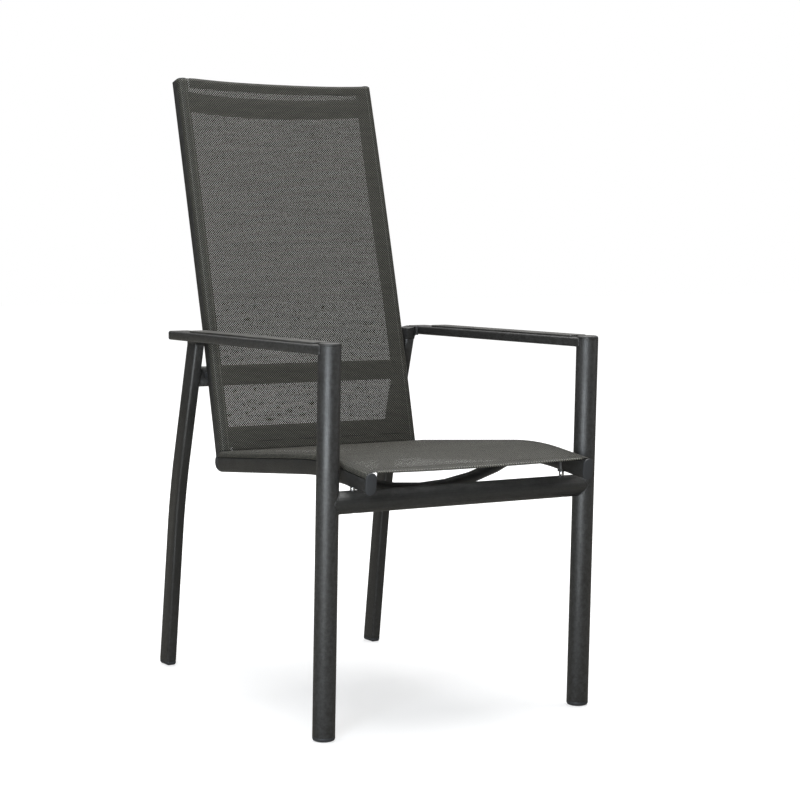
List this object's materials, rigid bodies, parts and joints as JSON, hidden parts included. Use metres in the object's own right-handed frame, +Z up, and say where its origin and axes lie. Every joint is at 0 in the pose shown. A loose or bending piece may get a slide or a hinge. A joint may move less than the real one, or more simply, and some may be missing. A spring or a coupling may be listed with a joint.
{
  "type": "sling patio chair",
  "caption": "High-back outdoor armchair: tubular metal frame with mesh slings stretched between grooved seat and back rails, flat arms with pads, and glides under the legs.",
  "frame": {"origin": "on the floor, midway between the left and right sides and midway between the frontmost and rearmost points", "axes": "+Z up from the floor that the four glides stand on; the sitter faces -Y; left in a name means the -X side, which is the left one seen from the front"},
  "size_m": [0.557, 0.7718, 1.1119],
  "materials": {
    "powder_coat": "satin",
    "cast_coat": "satin",
    "arm_pad": "matte",
    "plug_plastic": "matte",
    "mesh_fabric": "matte",
    "edge_rod": "satin",
    "stainless": "satin"
  },
  "bodies": {
    "root": {"front_leg_left": "powder_coat", "front_leg_right": "powder_coat", "front_leg_cap_left": "powder_coat", "front_leg_cap_right": "powder_coat", "front_glide_left": "plug_plastic", "front_glide_right": "plug_plastic", "rear_leg_left": "powder_coat", "rear_leg_right": "powder_coat", "rear_leg_head_left": "cast_coat", "rear_leg_head_right": "cast_coat", "rear_glide_left": "plug_plastic", "rear_glide_right": "plug_plastic", "arm_left": "powder_coat", "arm_right": "powder_coat", "arm_end_cap_left": "plug_plastic", "arm_end_cap_right": "plug_plastic", "arm_pad_left": "arm_pad", "arm_pad_right": "arm_pad", "seat_rail_left": "powder_coat", "seat_rail_right": "powder_coat", "seat_rail_front_cap_left": "plug_plastic", "seat_rail_front_cap_right": "plug_plastic", "seat_rail_rear_cap_left": "plug_plastic", "seat_rail_rear_cap_right": "plug_plastic", "seat_edge_rod_left": "edge_rod", "seat_edge_rod_right": "edge_rod", "seat_spacer_left": "stainless", "seat_spacer_right": "stainless", "seat_bolt_left": "stainless", "seat_bolt_right": "stainless", "back_rail_left": "powder_coat", "back_rail_right": "powder_coat", "back_rail_cap_left": "plug_plastic", "back_rail_cap_right": "plug_plastic", "back_edge_rod_left": "edge_rod", "back_edge_rod_right": "edge_rod", "back_spacer_left": "plug_plastic", "back_spacer_right": "plug_plastic", "back_bolt_left": "stainless", "back_bolt_right": "stainless", "corner_bracket_left": "cast_coat", "corner_bracket_right": "cast_coat", "bracket_screw_left_1": "stainless", "bracket_screw_left_2": "stainless", "bracket_screw_right_1": "stainless", "bracket_screw_right_2": "stainless", "front_crossbar": "powder_coat", "lumbar_crossbar": "powder_coat", "seat_front_stretcher": "powder_coat", "seat_rear_stretcher": "powder_coat", "back_top_bar": "powder_coat", "back_bottom_bar": "powder_coat", "seat_sling": "mesh_fabric", "back_sling": "mesh_fabric"}
  },
  "joints": []
}
